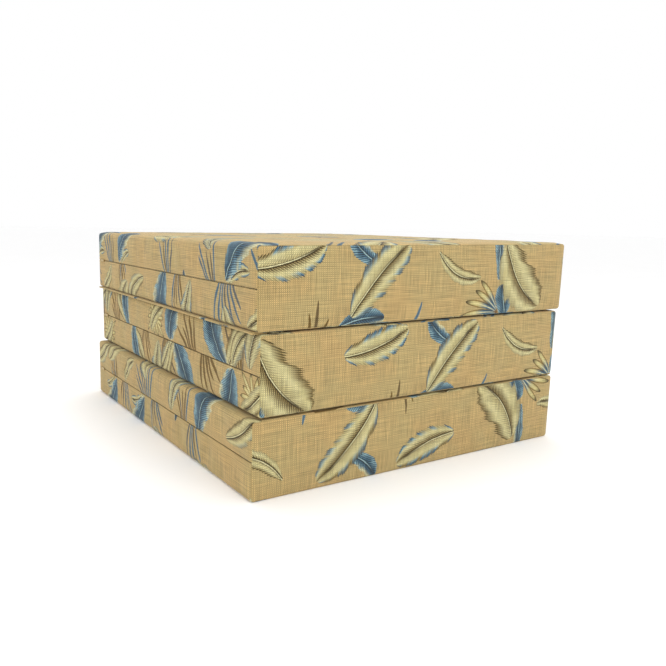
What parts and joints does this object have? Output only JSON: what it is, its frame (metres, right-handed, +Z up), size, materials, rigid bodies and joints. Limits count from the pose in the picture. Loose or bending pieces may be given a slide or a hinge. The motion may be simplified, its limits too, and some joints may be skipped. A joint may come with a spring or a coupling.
{
  "type": "three-fold foam mattress",
  "caption": "Folding foam mattress: box panels in zipped, leaf-printed cloth covers, joined by cloth hinges and folded into a stack",
  "frame": {"origin": "on the floor under the middle of the folded stack", "axes": "+Z up; +Y along the folds, across the mattress's width; +X across the folds, from the sides with the zips to the opposite sides"},
  "size_m": [0.642, 0.7, 0.3561],
  "materials": {
    "printed_cloth": "coarse linen-look weave with a leaf print",
    "foam": "open-cell polyurethane foam, matte",
    "zip_tape": "fine woven tape",
    "zip_coil": "nylon coil",
    "zip_metal": "satin lacquered zinc"
  },
  "bodies": {
    "bottom_panel": {"bottom_foam_core": "foam", "bottom_upper_cloth": "printed_cloth", "bottom_lower_cloth": "printed_cloth", "bottom_front_band": "printed_cloth", "bottom_rear_band": "printed_cloth", "bottom_zip_tape_upper": "zip_tape", "bottom_zip_tape_lower": "zip_tape", "bottom_zip_coil_upper": "zip_coil", "bottom_zip_coil_lower": "zip_coil", "bottom_zip_stops": "zip_metal", "bottom_hinge_leaf": "printed_cloth"},
    "middle_panel": {"middle_foam_core": "foam", "middle_upper_cloth": "printed_cloth", "middle_lower_cloth": "printed_cloth", "middle_front_band": "printed_cloth", "middle_rear_band": "printed_cloth", "middle_zip_tape_upper": "zip_tape", "middle_zip_tape_lower": "zip_tape", "middle_zip_coil_upper": "zip_coil", "middle_zip_coil_lower": "zip_coil", "middle_zip_stops": "zip_metal", "middle_lower_hinge_leaf": "printed_cloth", "middle_upper_hinge_leaf": "printed_cloth"},
    "top_panel": {"top_foam_core": "foam", "top_upper_cloth": "printed_cloth", "top_lower_cloth": "printed_cloth", "top_front_band": "printed_cloth", "top_rear_band": "printed_cloth", "top_zip_tape_upper": "zip_tape", "top_zip_tape_lower": "zip_tape", "top_zip_coil_upper": "zip_coil", "top_zip_coil_lower": "zip_coil", "top_zip_stops": "zip_metal", "top_hinge_leaf": "printed_cloth"},
    "bottom_slider": {"bottom_zip_slider": "zip_metal"},
    "bottom_puller": {"bottom_zip_puller": "zip_metal"},
    "middle_slider": {"middle_zip_slider": "zip_metal"},
    "middle_puller": {"middle_zip_puller": "zip_metal"},
    "top_slider": {"top_zip_slider": "zip_metal"},
    "top_puller": {"top_zip_puller": "zip_metal"}
  },
  "joints": [
    {"name": "lower_fold", "type": "hinge", "parent": "bottom_panel", "child": "middle_panel", "pos_m": [0.318, 0, 0.11815], "axis": [0, 1, 0], "range_deg": [0, 180]},
    {"name": "upper_fold", "type": "hinge", "parent": "middle_panel", "child": "top_panel", "pos_m": [-0.315, 0, 0.23795], "axis": [0, -1, 0], "range_deg": [0, 180]},
    {"name": "bottom_zip_slide", "type": "slide", "parent": "bottom_panel", "child": "bottom_slider", "axis": [0, -1, 0], "range_m": [0, 0.6244]},
    {"name": "bottom_puller_swing", "type": "hinge", "parent": "bottom_slider", "child": "bottom_puller", "pos_m": [-0.3195, 0.3122, 0.05825], "axis": [0, 0, 1], "range_deg": [0, 180]},
    {"name": "middle_zip_slide", "type": "slide", "parent": "middle_panel", "child": "middle_slider", "axis": [0, -1, 0], "range_m": [0, 0.6244]},
    {"name": "middle_puller_swing", "type": "hinge", "parent": "middle_slider", "child": "middle_puller", "pos_m": [-0.3085, 0.3122, 0.17805], "axis": [0, 0, 1], "range_deg": [0, 180]},
    {"name": "top_zip_slide", "type": "slide", "parent": "top_panel", "child": "top_slider", "axis": [0, -1, 0], "range_m": [0, 0.6244]},
    {"name": "top_puller_swing", "type": "hinge", "parent": "top_slider", "child": "top_puller", "pos_m": [-0.3145, 0.3122, 0.29785], "axis": [0, 0, 1], "range_deg": [0, 180]}
  ]
}
